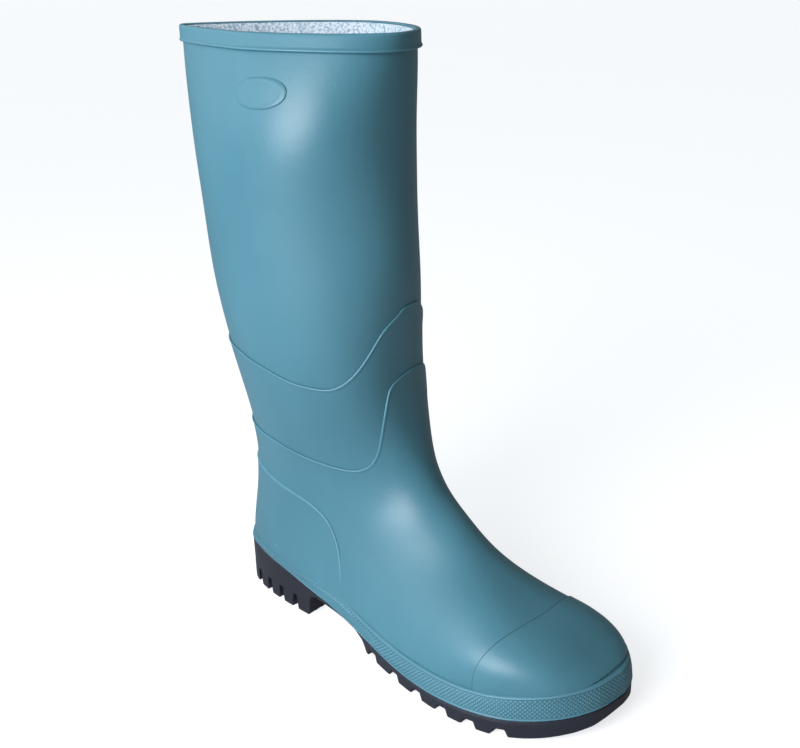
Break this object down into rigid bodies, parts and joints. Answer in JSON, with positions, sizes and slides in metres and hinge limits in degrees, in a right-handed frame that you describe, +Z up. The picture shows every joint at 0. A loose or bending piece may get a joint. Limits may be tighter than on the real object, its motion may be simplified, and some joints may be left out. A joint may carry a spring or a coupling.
{
  "type": "rubber rain boot",
  "caption": "Knee-high right-foot rubber rain boot with overlaid ankle, foot, toe and heel plies, textured foxing, lugged outsole, knitted lining and a loose insole.",
  "frame": {"origin": "centre of the boot's bounding box at ground level, under the sole", "axes": "+X towards the toe, +Y towards the inner (medial) side of this right boot, +Z up the leg"},
  "size_m": [0.322, 0.1319, 0.3821],
  "materials": {
    "upper_rubber": "satin teal-green vulcanised rubber with fine flow marks",
    "outsole_rubber": "matt black moulded rubber with a blue-violet cast",
    "lining_knit": "pale blue-white speckled knitted fleece",
    "insole_textile": "grey-blue felt",
    "insole_foam": "closed-cell foam, dark grey",
    "board_fibre": "pressed cellulose board",
    "shank_steel": "formed spring steel strip",
    "core_foam": "moulded rigid foam"
  },
  "bodies": {
    "boot": {"leg_shell": "upper_rubber", "ankle_ply": "upper_rubber", "foot_ply": "upper_rubber", "toe_cap": "upper_rubber", "heel_counter": "upper_rubber", "foxing_band": "upper_rubber", "cuff_band": "upper_rubber", "badge_pad": "upper_rubber", "outsole": "outsole_rubber", "heel_core": "core_foam", "arch_shank": "shank_steel", "insole_board": "board_fibre", "lining_sock": "lining_knit"},
    "insole": {"insole_foam": "insole_foam", "insole_cover": "insole_textile"}
  },
  "joints": [
    {"name": "insole_lift", "type": "hinge", "parent": "boot", "child": "insole", "pos_m": [0.1479, 0.0026, 0.024], "axis": [0, 1, 0], "range_deg": [0, 2.4]}
  ]
}
